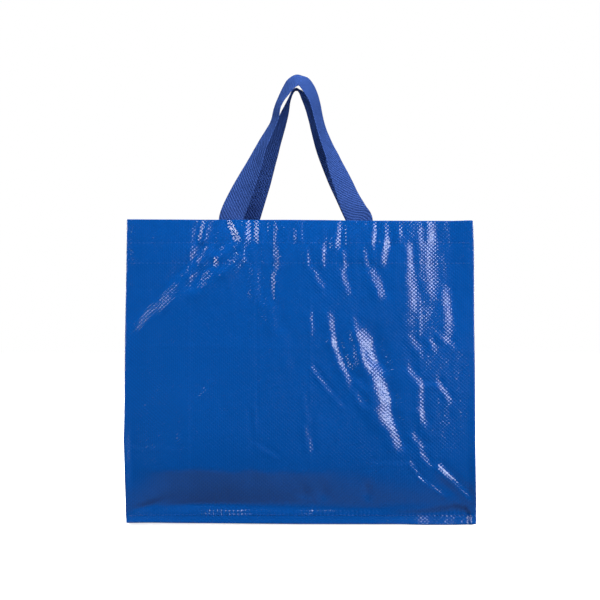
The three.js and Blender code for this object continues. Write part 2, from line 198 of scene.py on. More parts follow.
# Folds of the front sheet: two picture positions, the way the fold faces, width in mm, tilt in degrees.
FRONT_FOLDS = [
    # upper left, long slanting folds running down from the handle
    (140, 321, 182, 277, "UL", 9.0, 6.4), (176, 281, 208, 251, "UL", 6.5, 10.5),
    (194, 289, 214, 267, "UL", 7.0, 14.5), (164, 304, 186, 288, "UL", 7.0, 7.0),
    (204, 221, 199, 241, "L", 4.6, 18.0), (229, 222, 236, 236, "L", 4.8, 17.5),
    (249, 220, 249, 240, "R", 4.6, 17.0), (217, 255, 233, 244, "UL", 5.6, 17.5), (216, 249, 216, 258, "R", 4.0, 5.5),
    (222, 270, 236, 256, "UL", 6.4, 18.0), (199, 260, 205, 249, "UL", 4.6, 14.5), (206, 282, 226, 238, "UL", 16.0, 5.5),
    (263, 223, 263, 239, "R", 3.6, 8.5), (276, 226, 275, 240, "L", 3.6, 8.0),
    (289, 226, 290, 243, "R", 3.6, 8.6), (276, 251, 278, 266, "L", 6.0, 9.0),
    (257, 252, 257, 262, "R", 3.6, 9.0), (258, 270, 259, 298, "R", 5.4, 11.0),
    (273, 274, 274, 299, "L", 3.8, 9.0), (274, 308, 276, 327, "R", 6.6, 8.0),
    (286, 335, 290, 365, "R", 7.2, 3.8), (270, 340, 268, 366, "L", 6.0, 3.4),
    # along the hem
    (302, 222, 302, 239, "R", 4.1, 9.9), (340, 222, 338, 247, "R", 4.1, 10.6),
    (331, 238, 330, 248, "L", 3.4, 8.0), (375, 226, 374, 241, "R", 3.4, 9.5),
    (386, 224, 387, 244, "R", 3.8, 10.2), (386, 245, 384, 265, "R", 6.0, 10.6),
    (373, 272, 382, 293, "R", 7.8, 10.6), (400, 226, 401, 240, "R", 3.4, 8.0),
    (308, 249, 308, 263, "R", 3.1, 9.9), (324, 248, 324, 265, "R", 3.4, 10.6),
    (345, 249, 346, 267, "R", 3.8, 10.6), (365, 249, 367, 264, "R", 3.1, 10.2),
    (341, 268, 348, 289, "R", 5.0, 8.3), (313, 268, 322, 285, "R", 5.0, 8.3),
    # tall upright folds at the right
    (431, 221, 431, 236, "R", 5.5, 7.3), (431, 240, 433, 290, "R", 7.5, 3.4),
    (411, 271, 413, 306, "R", 8.0, 5.2), (409, 248, 410, 264, "R", 4.3, 8.6),
    (447, 294, 450, 332, "R", 8.0, 6.4), (421, 226, 420, 239, "R", 3.8, 7.9),
    (422, 246, 426, 312, "R", 24.0, 3.0), (440, 335, 454, 346, "UR", 4.3, 8.3),
    (412, 338, 418, 350, "UR", 4.8, 6.7), (431, 340, 434, 346, "UR", 3.6, 7.1),
    # middle right, the deepest folds
    (330, 314, 335, 345, "R", 5.5, 9.9), (334, 342, 342, 366, "R", 5.5, 10.3),
    (341, 358, 349, 384, "R", 5.3, 8.1), (344, 338, 355, 370, "R", 5.0, 8.0), (355, 319, 357, 335, "R", 4.1, 7.2),
    (363, 336, 368, 362, "R", 10.5, 12.3), (381, 345, 391, 372, "R", 5.0, 3.5),
    (373, 342, 382, 368, "R", 6.5, 7.0), (374, 404, 386, 422, "R", 9.0, 4.5), (367, 354, 388, 398, "UR", 9.5, 13.0),
    (384, 394, 397, 444, "R", 7.2, 11.0), (375, 392, 382, 418, "R", 9.5, 10.5),
    (313, 368, 327, 388, "UR", 3.2, 11.0), (330, 391, 344, 407, "UR", 3.1, 8.0),
    (346, 370, 351, 380, "R", 4.0, 10.0), (355, 377, 363, 387, "UR", 4.0, 10.5),
    (357, 393, 363, 405, "R", 4.6, 10.5), (311, 316, 313, 330, "R", 4.1, 6.5),
    (410, 371, 421, 384, "UR", 4.8, 9.1), (421, 384, 440, 384, "U", 3.6, 8.4),
    (439, 384, 449, 398, "UR", 3.6, 9.1), (420, 392, 422, 410, "R", 5.3, 7.6),
    (419, 411, 425, 423, "UR", 4.8, 7.6), (414, 436, 421, 446, "UR", 4.8, 9.1),
    (422, 454, 431, 466, "UR", 3.4, 8.7), (307, 427, 310, 449, "R", 4.1, 8.7),
    (305, 397, 309, 420, "R", 3.6, 5.7), (377, 366, 386, 373, "UR", 3.6, 8.0),
    # lower left
    (252, 411, 255, 444, "L", 3.8, 6.8), (256, 444, 276, 456, "U", 3.1, 7.6),
    (189, 398, 187, 466, "R", 6.0, 3.8), (200, 396, 204, 388, "UL", 3.1, 6.1),
    (258, 384, 264, 377, "UL", 3.6, 6.1), (225, 398, 228, 410, "L", 4.8, 3.8),
    (150, 447, 175, 448, "U", 2.9, 3.8), (133, 446, 142, 449, "U", 2.6, 4.6),
    # foot of the front
    (374, 463, 412, 463, "U", 2.3, 9.0), (411, 463, 421, 478, "UR", 2.4, 11.0),
    (420, 478, 444, 495, "UR", 2.5, 12.0), (440, 467, 470, 498, "UR", 4.4, 17.0),
    (311, 500, 314, 515, "R", 2.0, 13.0),
    (402, 502, 403, 514, "R", 2.0, 7.0), (413, 505, 420, 509, "UR", 2.0, 5.0),
    (135, 514, 160, 514, "U", 2.0, 9.0), (160, 514, 181, 518, "U", 2.0, 10.0),
]
# Storage creases of the front sheet: two picture positions, width, height.
FRONT_LINES = [
    (255, 252, 256, 300, 1.6, -0.3), (256, 300, 258, 445, 1.6, -0.3),
    (189, 250, 188, 470, 1.8, 0.22), (310, 300, 310, 470, 1.6, 0.25),
    (419, 300, 420, 470, 1.8, 0.25), (126, 345, 474, 352, 2.4, 0.18),
    (127, 289, 474, 291, 2.2, -0.16),
]


# the same, placed on the sheet in millimetres
FOLDS_ON = [(front_at(ax, ay), front_at(bx, by), *more) for ax, ay, bx, by, *more in FRONT_FOLDS]
LINES_ON = [(front_at(ax, ay), front_at(bx, by), *more) for ax, ay, bx, by, *more in FRONT_LINES]
CORNER_RIGHT, CORNER_LEFT = front_at(448, 488), front_at(147, 506)


def lively(X, Z):
    """How much of the fine cockle shows: most near the hem and on the right, least low down on the left."""
    return 0.35 + 0.65 * np.maximum(smooth(215, 290, Z), smooth(-30, 90, X) * smooth(60, 130, Z))


# The foot of the front: drawn in above the bottom seam, deep under the belly at the left, slight at the right.
DEEP = ([0, 14, 26, 66, 70, 85, 120, 190, 230], [-6.0, -6.0, -11.2, 1.3, 1.6, 1.4, 0.9, 0.1, 0])
SLIGHT = ([0, 14, 26, 46, 66, 100, 160, 230], [0, 0, -1.4, -1.8, -2.0, -1.6, -0.4, 0])
BELLY = ([-205, -185, -160, -135, -110, 60, 140], [0.0, 0.35, 0.8, 1, 1, 0.25, 0])
DROP = ([-215, -208, -184, -159, -110, 0], [11.5, 11, 6.5, 2, 0.7, 0])


def foot(X, Z):
    z = Z + np.interp(X, *DROP) * (1 - smooth(26, 60, Z))
    belly = np.interp(X, *BELLY)
    for x, wide, more in ((5, 7, 0.3), (29, 8, 0.35), (83, 6, 0.3)):
        belly = belly + more * np.exp(-(((X - x) / wide) ** 2)) * smooth(27, 42, Z) * (1 - smooth(50, 72, Z))
    deep = np.interp(z + 5 * noise(X / 24, 0.3, 18) * smooth(34, 60, Z), *DEEP)
    d = belly * deep + (1 - belly) * np.interp(z, *SLIGHT)
    d = d - np.interp(X, [-110, -50, 95, 125], [0, 0.9, 0.9, 0]) * np.exp(-(((Z - 20) / 3.6) ** 2))
    # a short row of small puckers
    row = np.exp(-(((Z - 76) / 1.7) ** 2)) * smooth(88, 94, X) * (1 - smooth(132, 139, X))
    d = d + 0.3 * row * np.cos(2 * np.pi * (X + HALF_W - ROLL) / STITCH)
    # the dark crescent at the right corner, where the base folds under
    top = np.interp(X, [140, 147, 168, 190, 202, 212], [18, 19, 23, 26, 24, 12])
    much = np.interp(X, [95, 188, 203, 211], [0, 3.0, 3.2, 0.8])
    return d - much * (1 - smooth(-7, 1, Z - top))


def hem_relief(X, Z, seed):
    """Two layers, a shallow groove under each row of stitches, small puckers between."""
    d = 0.2 * smooth(HEM_LOW - 3, HEM_LOW + 2, Z)
    for row in (HEM_ROW_1, HEM_ROW_2):
        pull = np.exp(-(((Z - row) / 2.6) ** 2))
        d = d - 0.13 * pull * (1 - 0.9 * np.cos(2 * np.pi * (X + HALF_W - ROLL) / STITCH))
        d = d + 0.22 * noise(X / 7.5 + row, Z / 30, seed) * np.exp(-(((Z - row) / 12) ** 2))
    return d


def front_relief(X, Z):
    X, Z = np.broadcast_arrays(np.asarray(X, float), np.asarray(Z, float))
    d = np.zeros(X.shape)
    for a, b, face, width, tilt in FOLDS_ON:
        add_fold(d, X, Z, a, b, face, width, tilt)
    for a, b, width, height in LINES_ON:
        add_line(d, X, Z, a, b, width, height)
    # slack swelling between the seams, and the slow waviness of a sheet that has been folded flat
    slow = 1.6 * np.cos(np.pi * X / WIDTH) * smooth(20, 120, Z) * (1 - smooth(230, 360, Z))
    slow = slow + 0.8 * noise(X / 95 + 3.1, Z / 80 + 1.7, 11) * smooth(14, 60, Z)
    slow = slow + 0.35 * noise(X / 34 + 9.0, Z / 42 + 4.0, 12) * smooth(14, 40, Z)
    d += slow * (1 - smooth(150, 214, np.abs(X)))
    fine = 0.25 * noise(X / 11, Z / 15, 13) + 0.06 * noise(X / 5, Z / 6, 17)
    # upper part ribs up and down the sheet
    fine = fine + 0.11 * noise(X / 6.0, Z / 60, 14) * smooth(200, 330, Z)
    d += fine * lively(X, Z)
    d += hem_relief(X, Z, 15)
    for centre in FRONT_ENDS:
        d += strap_print(X, Z, centre)
    # low corners: the sheet is drawn in where the base folds under
    add_mound(d, X, Z, CORNER_RIGHT, 20, 7.0, -1.4, turn=-30)
    add_mound(d, X, Z, CORNER_LEFT, 20, 4.0, -2.4, turn=18)
    # pull of the bottom seam
    pull = np.exp(-(((Z - 20.0) / 9.0) ** 2))
    d += 0.35 * noise(X / 8.0, Z / 26, 16) * pull
    return d


def random_folds(d, X, Z, seed, count, z_lo=30, z_hi=330):
    r = np.random.default_rng(seed)
    for _ in range(count):
        x0 = r.uniform(-195, 195)
        z0 = r.uniform(z_lo, z_hi)
        slant = r.normal(0, 0.45)
        length = r.uniform(12, 52)
        face = ("R", "L", "UR", "UL")[int(r.integers(4))]
        dx = math.sin(slant) * length
        dz = -math.cos(slant) * length
        add_fold(d, X, Z, (x0, z0), (x0 + dx, z0 + dz), face, r.uniform(2.6, 7.5), r.uniform(5, 11.5))


def back_relief(X, Z):
    X, Z = np.broadcast_arrays(np.asarray(X, float), np.asarray(Z, float))
    d = np.zeros(X.shape)
    random_folds(d, X, Z, 41, 70)
    for x in (-138.0, 55.0, 148.0):
        add_line(d, X, Z, (x, 372), (x + 2, 40), 1.7, -0.3)
    add_line(d, X, Z, (-214, 250), (214, 246), 2.2, 0.2)
    add_line(d, X, Z, (-150, 70), (-214, 12), 2.0, 1.1)
    add_line(d, X, Z, (160, 66), (214, 14), 2.0, 1.0)
    add_mound(d, X, Z, (-204, 20), 18, 7, -3.5, turn=40)
    add_mound(d, X, Z, (205, 18), 18, 7, -3.0, turn=-38)
    slow = 1.6 * np.cos(np.pi * X / WIDTH) * smooth(20, 120, Z) * (1 - smooth(230, 360, Z))
    slow = slow + 1.0 * noise(X / 90 + 1.3, Z / 85 + 5.2, 51) * smooth(14, 60, Z)
    slow = slow + 0.4 * noise(X / 36, Z / 40, 52) * smooth(14, 40, Z)
    d += slow * (1 - smooth(150, 214, np.abs(X)))
    fine = 0.25 * noise(X / 11, Z / 15, 53) + 0.06 * noise(X / 5, Z / 6, 57)
    fine = fine + 0.11 * noise(X / 6.0, Z / 60, 54) * smooth(200, 330, Z)
    d += fine * (0.5 + 0.5 * smooth(160, 280, Z))
    d += hem_relief(X, Z, 55)
    for centre in BACK_ENDS:
        d += strap_print(X, Z, centre)
    pull = np.exp(-(((Z - 20.0) / 9.0) ** 2))
    d += 0.45 * noise(X / 8.0, Z / 26, 56) * pull
    return d


def settle(relief, X, Z):
    """The relief, held back at the side seams and at the bottom seam."""
    d = relief(X, Z)
    side = 1 - 0.85 * smooth(205, 214, np.abs(X))
    low = smooth(SEAM_Z - 1, SEAM_Z + 9, Z)
    corner = smooth(175, 200, np.abs(X)) * 0.2
    d = d * np.maximum(low, corner * smooth(4, 14, Z))
    if relief is front_relief:
        d = d + foot(X, Z)
    return d * side


# the waver of the mouth, seen from above
def mouth_waver(X, Z, side):
    k = smooth(190, 375, Z)
    wave = 2.2 * np.sin(2 * np.pi * X / 310 + (0.6 if side < 0 else 2.0)) + 0.6 * np.sin(
        2 * np.pi * X / 137 + (1.9 if side < 0 else 0.3)
    )
    return k * wave * (1 - smooth(185, 214, np.abs(X)))


def sheet_y(X, Z, side, inward=0.0):
    """y of the front (side -1) or back (side 1) sheet, or of a layer that far inside it."""
    relief = front_relief if side < 0 else back_relief
    out = half_depth(np.clip(Z, 14, 375)) + settle(relief, X, Z) + mouth_waver(X, Z, side)
    return side * (out - inward)


def pucker(X, Z, side):
    """Small ridges between the needle holes of the bottom seam."""
    if side < 0:
        much = np.interp(X, [-215, -125, -110, -70, -60, -5, 5, 90, 105, 165, 175, 215],
                         [0.25, 0.3, 1, 1, 0.45, 0.45, 0.9, 0.8, 0.3, 0.3, 0.9, 0.7])
    else:
        much = 0.6 + 0.4 * noise(X / 40, 0.4, 58)
    return 0.62 * much * np.cos(2 * np.pi * (X + HALF_W - ROLL) / STITCH) * np.exp(-(((Z - 15.6) / 2.8) ** 2))


# The side edges aren't quite straight: how far they stand from the nominal width, by height.
LEFT_EDGE = ([0, 6, 12, 31, 43, 68, 105, 153, 202, 239, 276, 338, 372],
             [2.1, 2.0, 1.25, 1.25, 0.9, 0.3, -0.95, -0.1, -0.2, -0.05, 0.35, 0.85, 1.0])
RIGHT_EDGE = ([0, 12, 31, 43, 68, 105, 153, 202, 239, 276, 300, 338, 363, 372],
              [1.25, 1.25, 0.95, 0.65, 0.2, -0.2, -0.2, -0.3, -0.65, -0.6, -0.45, -0.25, -0.75, -1.35])


def sides(points):
    """The points, moved with the side edges."""
    p = np.array(points, float)
    x, z = p[:, 0].copy(), p[:, 2]
    p[:, 0] += np.interp(z, *LEFT_EDGE) * smooth(-120, -213, x) + np.interp(z, *RIGHT_EDGE) * smooth(120, 213, x)
    return p


# ---------------------------------------------------------------- mesh making
def new_object(name, verts, faces, uv=None, smooth_shade=True):
    mesh = bpy.data.meshes.new(name)
    mesh.from_pydata((np.asarray(verts) * MM).tolist(), [], [tuple(map(int, f)) for f in faces])
    if uv is not None:
        layer = mesh.uv_layers.new(name="UVMap")
        loops = np.empty(len(mesh.loops), dtype=np.int32)
        mesh.loops.foreach_get("vertex_index", loops)
        layer.data.foreach_set("uv", (np.asarray(uv) * MM)[loops].astype(np.float32).ravel())
    mesh.polygons.foreach_set("use_smooth", [smooth_shade] * len(mesh.polygons))
    mesh.update()
    obj = bpy.data.objects.new(name, mesh)
    bpy.context.scene.collection.objects.link(obj)
    return obj


def grid_faces(rows, columns, flip=False):
    i, j = np.meshgrid(np.arange(columns - 1), np.arange(rows - 1))
    a = (j * columns + i).ravel()
    quads = np.stack([a, a + 1, a + columns + 1, a + columns], 1)
    return quads[:, ::-1] if flip else quads


# ---------------------------------------------------------------- main panel
def panel_columns(count):
    inner = np.linspace(ROLL - HALF_W, HALF_W - ROLL, count)
    roll = np.radians([18, 40, 62, 86, 112])
    x = HALF_W - ROLL + ROLL * np.sin(roll)
    back = ROLL * (1 - np.cos(roll))
    cx = np.concatenate([-x[::-1], inner, x])
    cin = np.concatenate([back[::-1], np.zeros(count), back])
    return cx, cin


def panel_half(cx, cin, side, step):
    """Rows of points from the end of the turned-in hem to the middle of the base, with the length along the sheet."""
    rows, v = [], []
    run = 0.0
    last = None

    def put(y, z, nominal, squeeze=1.0, roll=1.0):
        nonlocal run, last
        y = np.broadcast_to(y, cx.shape) - side * cin * roll
        z = np.broadcast_to(z, cx.shape)
        rows.append(np.stack([cx * squeeze, y, z], 1))
        if last is not None:
            run += math.hypot(nominal[0] - last[0], nominal[1] - last[1])
        last = nominal
        v.append(run)

    # the top edge isn't quite level
    edge = 0.3 * noise(cx / 40.0, np.full_like(cx, side * 2.5), 61) + np.interp(cx, [-215, -60, 0, 97, 215], [0.87, 0.3, 0, -0.9, -0.9])
    top = HEIGHT - 0.7
    for z in np.concatenate([np.linspace(HEM_LOW, 360, 10), np.linspace(363, top, 5)]):
        wave = 0.35 * noise(cx / 16.0, np.full_like(cx, z / 12), 62) * (1 - smooth(HEM_LOW, HEM_LOW + 12, z))
        put(sheet_y(cx, np.full_like(cx, z), side, HEM_GAP + 0.3 + wave), z + edge * smooth(340, top, z),
            (-half_depth(z) + HEM_GAP, z), 0.9925, 0.4)
    for k, a in enumerate(np.radians([30, 60, 90, 120, 150])):
        mid = HEM_GAP / 2 + 0.15
        inward = mid + mid * math.cos(a)
        put(sheet_y(cx, np.full_like(cx, top), side, inward), top + edge + 0.6 * math.sin(a),
            (-half_depth(top) + HEM_GAP / 2 * (1 + math.cos(a)), top + 0.5 * math.sin(a)),
            0.9925 + 0.0075 * (k + 1) / 6, 0.4 + 0.1 * (k + 1))
    count = int(round((top - SEAM_Z - 1.2) / step))
    for z in np.linspace(top, SEAM_Z + 1.2, count):
        put(sheet_y(cx, np.full_like(cx, z), side) + side * pucker(cx, z, side), z + edge * smooth(300, top, z),
            (-float(half_depth(z)), z))
    # the ridge: outer layer down to the floor, round, and back up inside
    lift = np.interp(cx, [-215, -184, -147, -110, -61, 0, 123, 153, 172, 190, 209, 215],
                     [2.55, 2.5, 1.8, 1.6, 1.2, 0.85, 1.0, 0.05, 0.0, 0.0, 0.5, 1.5])
    if side > 0:
        lift = lift[::-1]
    waver = 0.45 * noise(cx / 26.0, np.full_like(cx, 5.0 * side), 63) + 0.25 * noise(cx / 6.0, np.full_like(cx, 7.7 * side), 64)
    seam = np.abs(sheet_y(cx, np.full_like(cx, SEAM_Z + 1.2), side))
    for z, flare in ((11.6, 0.0), (9.0, 0.35), (6.0, 0.9), (3.2, 1.5), (1.3, 2.0)):
        k = (SEAM_Z - z) / SEAM_Z
        put(side * (seam + flare + waver * k + pucker(cx, z, side)), z + lift * k, (-67 - flare, z))
    for a in np.radians([40, 90, 140]):
        put(side * (seam + 2.0 + waver - 0.55 * (1 - math.cos(a))), 1.3 - 1.15 * math.sin(a) + lift,
            (-69 + 0.5 * (1 - math.cos(a)), 1.3 - math.sin(a)))
    for z, flare in ((1.3, 0.9), (3.2, 0.45), (6.0, -0.1), (9.0, -0.65), (11.6, -1.1)):
        k = (SEAM_Z - z) / SEAM_Z
        put(side * (seam + flare + waver * k), z + lift * k, (-67 - flare, z))
    depths = np.concatenate([np.linspace(64.7, 30, 15), np.linspace(24, 0, 5)])
    for y in depths:
        rough = 0.7 * noise(cx / 30.0, np.full_like(cx, side * y / 22), 65) * smooth(26, 48, y)
        z = base_height(y) + rough
        # the base meets the ridge where the sheet above it went
        y_here = y + (seam - 66.9) * smooth(40, 64.7, y)
        put(side * y_here, np.maximum(z, 0.2), (-y, float(base_height(y))), 1.0, 0.0)
    return np.array(rows), np.array(v)


def make_panel():
    cx, cin = panel_columns(COLUMNS)
    front, fv = panel_half(cx, cin, -1, 2.6)
    back, bv = panel_half(cx, cin, 1, 3.6)
    rows = np.concatenate([front, back[::-1][1:]])
    v = np.concatenate([fv, fv[-1] + (bv[-1] - bv[::-1][1:])])
    verts = sides(rows.reshape(-1, 3))
    u = np.broadcast_to(cx, rows.shape[:2])
    vv = np.broadcast_to(v[:, None], rows.shape[:2])
    uv = np.stack([u, vv], 2).reshape(-1, 2)
    obj = new_object("bag_panel", verts, grid_faces(len(rows), len(cx)), uv)
    return obj, float(v[-1])


# ---------------------------------------------------------------- gussets
def gusset_rest(s, z):
    """Offset from the side edge at a share s across (-1 front, 1 back) and a height."""
    round_s = np.sqrt(s * s + 0.0009) - 0.03
    across = 1 - round_s / (math.sqrt(1.0009) - 0.03)
    start = GUSSET_FLAT * across
    rise = z - start
    soft = np.where(rise > 0, np.sqrt(rise * rise + 16) - 4, 0)
    return GUSSET_IN * across * soft / (373 - start)


def make_gusset(side, seed):
    """Side sheet with a centre pleat; its seam allowances lie inside the panel and follow its relief."""
    s = np.linspace(-1, 1, 71)
    share = np.abs(s)
    allowance = np.array([10.0, 7.0, 4.0, 1.8, 0.6])
    top = HEIGHT - 1.0
    edge_x = HALF_W - 0.7
    rows, lengths = [], []

    def depth_at(z):
        return half_depth(np.clip(z, 14, 375)) - 2.0

    foot_y = np.minimum(share * depth_at(17.0), 64.7)
    foot = np.where(share > 0.955, 15.0, np.minimum(15.0, base_height(foot_y) + 0.55))

    def put(z, inner, run):
        x = edge_x - gusset_rest(s, z)
        y = s * depth_at(z)
        # the folds at the panel's edges go where the panel goes
        for face, at in ((-1, 0), (1, -1)):
            held = float(sheet_y(np.array([side * 213.5]), np.array([z[at]]), face, 2.0)[0])
            y = y + (held - y[at]) * np.where(s * face > 0, share**3, 0)
        slope = (gusset_rest(s + 0.01, z) - gusset_rest(s - 0.01, z)) / (0.02 * depth_at(z))
        size = np.hypot(1.0, slope)
        nx, ny = -1 / size, -slope / size  # towards the inside of the bag
        # crumple: slow waves, small folds, and the creases that run up from the base corners
        r = 2.2 * noise(s * 1.3 + seed, z / 75, seed) + 0.7 * noise(s * 3.2, z / 28 + seed, seed + 1)
        r = r + 0.16 * noise(s * 9, z / 11, seed + 2)
        crease = z - GUSSET_FLAT * (1 - share)
        r = r + 1.0 * np.exp(-np.sqrt((crease / 3.0) ** 2 + 0.03))
        for at, wide, high in ((-0.52, 0.03, 0.5), (0.48, 0.03, -0.45)):
            r = r + high * np.exp(-np.sqrt(((s - at - 0.02 * np.sin(z / 60)) / wide) ** 2 + 0.03))
        r = r + 0.35 * smooth(HEM_LOW - 3, HEM_LOW + 2, z)
        for line in (HEM_ROW_1, HEM_ROW_2):
            r = r - 0.4 * np.exp(-(((z - line) / 2.6) ** 2))
        r = r * smooth(0, 0.12, 1 - share) * smooth(1, 22, z - foot)
        inset = inner * (0.3 + 0.7 * smooth(0.02, 0.12, 1 - share))
        x = x - nx * r + nx * inset
        y = y - ny * r + ny * inset
        fx = edge_x - allowance
        fronts = sheet_y(side * fx, np.full(len(fx), z[0]), -1, 2.15 + 0.3 * inner)
        backs = sheet_y(side * fx, np.full(len(fx), z[-1]), 1, 2.15 + 0.3 * inner)
        X = np.concatenate([fx, x, fx[::-1]])
        Y = np.concatenate([fronts, y, backs[::-1]])
        Z = np.concatenate([np.full(len(fx), z[0]), z, np.full(len(fx), z[-1])])
        rows.append(np.stack([X * side, Y, Z], 1))
        lengths.append(run)

    for k in np.linspace(0, 1, 128):
        put(foot + (top - foot) * k, 0.0, k * (top - 3))
    for a in np.radians([45, 90, 135]):
        put(np.full_like(s, top + 0.5 * math.sin(a)), 0.45 * (1 - math.cos(a)), lengths[-1] + 0.5)
    for z in np.linspace(top - 1, HEM_LOW, 18):
        put(np.full_like(s, z), 0.95, lengths[-1] + 3.2)
    rows = np.array(rows)
    mid = rows[40]
    u = np.concatenate([[0], np.cumsum(np.hypot(np.diff(mid[:, 0]), np.diff(mid[:, 1])))])
    uv = np.stack(np.broadcast_arrays(u[None, :], np.array(lengths)[:, None]), 2).reshape(-1, 2)
    name = "right_side" if side > 0 else "left_side"
    return new_object(name, sides(rows.reshape(-1, 3)), grid_faces(len(rows), rows.shape[1], flip=side < 0), uv)


# ---------------------------------------------------------------- handles
FRONT_LOOP = [
    [-83.2, -41.0, 384.0, -0.968, 0.03, 0.252], [-76.7, -37.1, 400.0, -0.906, 0.273, 0.322],
    [-66.8, -32.9, 422.6, -0.799, 0.547, 0.248], [-57.6, -29.1, 443.9, -0.647, 0.749, 0.143],
    [-48.8, -25.5, 465.3, -0.483, 0.873, 0.073], [-39.3, -22.4, 484.2, -0.384, 0.923, 0.036],
    [-31.8, -19.8, 500.0, -0.333, 0.942, -0.035], [-28.6, -17.5, 514.5, -0.323, 0.945, -0.058],
    [-24.7, -15.9, 524.4, -0.346, 0.938, 0.02], [-19.4, -14.5, 533.4, -0.38, 0.921, 0.086],
    [-14.3, -13.2, 541.7, -0.411, 0.897, 0.165], [-8.3, -12.1, 548.4, -0.38, 0.861, 0.339],
    [-2.4, -11.7, 551.2, -0.069, 0.856, 0.513], [3.6, -11.9, 549.7, 0.362, 0.856, 0.369],
    [9.3, -13.0, 542.8, 0.508, 0.836, 0.205], [14.4, -14.5, 533.4, 0.501, 0.86, 0.099],
    [18.1, -16.0, 523.9, 0.453, 0.891, 0.006], [21.0, -17.7, 513.2, 0.409, 0.911, -0.049],
    [23.7, -19.8, 500.3, 0.394, 0.918, -0.049], [27.8, -22.1, 486.1, 0.415, 0.91, -0.012],
    [34.0, -24.9, 469.1, 0.479, 0.877, 0.042], [40.0, -27.2, 455.2, 0.554, 0.829, 0.077],
    [44.4, -29.4, 442.7, 0.667, 0.734, 0.129], [51.1, -32.2, 426.3, 0.766, 0.613, 0.195],
    [60.9, -36.8, 401.3, 0.865, 0.412, 0.288], [69.2, -41.0, 384.0, 0.951, 0.037, 0.308],
]
BACK_LOOP = [
    [-64.7, 41.0, 384.0, -0.973, -0.027, 0.229], [-58.2, 36.8, 404.5, -0.938, -0.213, 0.274],
    [-49.7, 32.4, 428.5, -0.866, -0.446, 0.224], [-42.3, 28.7, 449.9, -0.737, -0.659, 0.15],
    [-34.9, 25.3, 469.9, -0.583, -0.808, 0.082], [-27.5, 22.1, 489.4, -0.448, -0.894, 0.02],
    [-22.1, 19.7, 503.7, -0.354, -0.935, -0.025], [-18.2, 17.9, 515.0, -0.273, -0.96, -0.064],
    [-15.4, 16.4, 523.7, -0.178, -0.979, -0.097], [-13.0, 15.4, 529.9, -0.126, -0.986, -0.107],
    [-10.9, 14.6, 534.9, -0.102, -0.989, -0.107], [-8.1, 13.9, 539.6, -0.098, -0.993, -0.069],
    [-4.4, 13.5, 541.9, -0.019, -1.0, 0.019], [-0.9, 13.8, 540.4, 0.103, -0.994, -0.027],
    [2.3, 14.4, 536.6, 0.172, -0.984, -0.042], [5.8, 15.4, 530.4, 0.237, -0.971, -0.036],
    [9.2, 16.6, 522.9, 0.275, -0.96, -0.043], [12.6, 18.1, 513.7, 0.289, -0.955, -0.06],
    [16.8, 20.3, 500.0, 0.321, -0.946, -0.052], [21.9, 22.8, 485.0, 0.394, -0.919, -0.006],
    [28.5, 25.5, 468.7, 0.534, -0.839, 0.103], [37.4, 28.5, 451.1, 0.692, -0.683, 0.233],
    [48.9, 32.4, 428.5, 0.821, -0.463, 0.334], [61.7, 37.1, 403.3, 0.877, -0.277, 0.393],
    [71.2, 41.0, 384.0, 0.934, -0.042, 0.357],
]


def strap_rows(loop, ends, side):
    """Control rows: centre and cross direction, from one sewn end over the loop to the other."""

    def sewn(x, k, sign):
        z = STRAP_LOW + k * (HEIGHT + 1 - STRAP_LOW)
        zc = min(z, HEIGHT)
        xs = x + np.linspace(-13, 13, 7)
        y = float(np.mean(sheet_y(xs, np.full(7, zc), side, STRAP_IN + 1.2)))
        tilt = (float(sheet_y(np.array([x + 12.0]), np.array([zc]), side)[0])
                - float(sheet_y(np.array([x - 12.0]), np.array([zc]), side)[0])) / 24
        return [x, y, z, sign, sign * tilt + -side * 0.12 * 0.08 * k, 0.08 * k]

    steps = (0, 0.34, 0.68, 1)
    head = [sewn(ends[0], k, -1) for k in steps]
    tail = [sewn(ends[1], k, 1) for k in reversed(steps)]
    # the foot of the loop starts where the hem holds it
    rest = side * (45.0 - STRAP_IN)
    moved_1, moved_2 = head[-1][1] - rest, tail[0][1] - rest
    body = []
    for i, r in enumerate(loop):
        k = i / (len(loop) - 1)
        fade = math.exp(-(((r[2] - 380) / 45) ** 2))
        body.append([r[0], r[1] + fade * (moved_1 * (1 - k) + moved_2 * k), *r[2:]])
    return np.array(head + body + tail, float)


def catmull(points, count, alpha=0.5):
    """Centripetal curve through the points, evenly spaced in length."""
    p = np.asarray(points, float)
    p = np.vstack([2 * p[0] - p[1], p, 2 * p[-1] - p[-2]])
    fine = []
    for i in range(1, len(p) - 2):
        a, b, c, d = p[i - 1], p[i], p[i + 1], p[i + 2]
        t0 = 0.0
        t1 = t0 + np.linalg.norm((b - a)[:3]) ** alpha
        t2 = t1 + np.linalg.norm((c - b)[:3]) ** alpha
        t3 = t2 + np.linalg.norm((d - c)[:3]) ** alpha
        t = np.linspace(t1, t2, 17)[:-1, None]
        a1 = (t1 - t) / (t1 - t0) * a + (t - t0) / (t1 - t0) * b
        a2 = (t2 - t) / (t2 - t1) * b + (t - t1) / (t2 - t1) * c
        a3 = (t3 - t) / (t3 - t2) * c + (t - t2) / (t3 - t2) * d
        b1 = (t2 - t) / (t2 - t0) * a1 + (t - t0) / (t2 - t0) * a2
        b2 = (t3 - t) / (t3 - t1) * a2 + (t - t1) / (t3 - t1) * a3
        fine.append((t2 - t) / (t2 - t1) * b1 + (t - t1) / (t2 - t1) * b2)
    fine = np.vstack([*fine, p[-2][None]])
    run = np.concatenate([[0], np.cumsum(np.linalg.norm(np.diff(fine[:, :3], axis=0), axis=1))])
    at = np.linspace(0, run[-1], count)
    return np.stack([np.interp(at, run, fine[:, k]) for k in range(fine.shape[1])], 1), run[-1]


